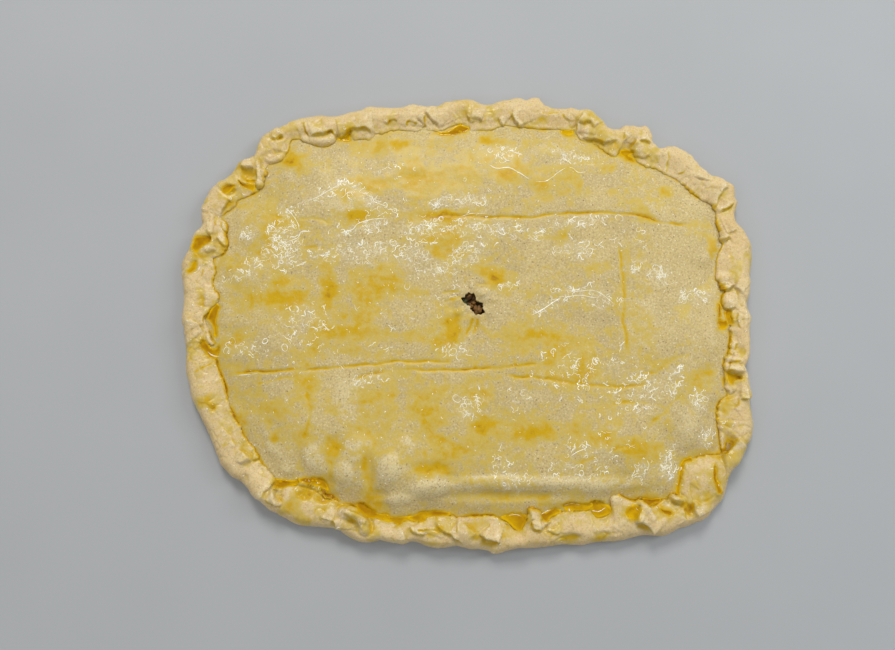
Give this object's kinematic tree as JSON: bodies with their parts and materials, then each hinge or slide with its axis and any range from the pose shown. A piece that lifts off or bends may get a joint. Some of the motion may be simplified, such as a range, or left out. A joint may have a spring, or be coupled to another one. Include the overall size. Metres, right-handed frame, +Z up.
{
  "type": "galician empanada",
  "caption": "Large flat raw dough pie with a folded, crimped rim, a low lid brushed with egg and a small torn vent that shows the filling.",
  "frame": {"origin": "middle of the underside's bounding box, on the surface the pie rests on", "axes": "+X along the length, +Y across the width, away from the viewer, +Z up out of the lid"},
  "size_m": [0.3454, 0.2748, 0.0212],
  "materials": {
    "rim_dough": "soft raw wheat dough with egg in its folds",
    "lid_dough": "raw wheat dough with brown flecks under a wet egg wash",
    "filling": "moist brown savoury filling with green bits"
  },
  "bodies": {
    "root": {"base": "rim_dough", "lid": "lid_dough", "filling": "filling"}
  },
  "joints": []
}
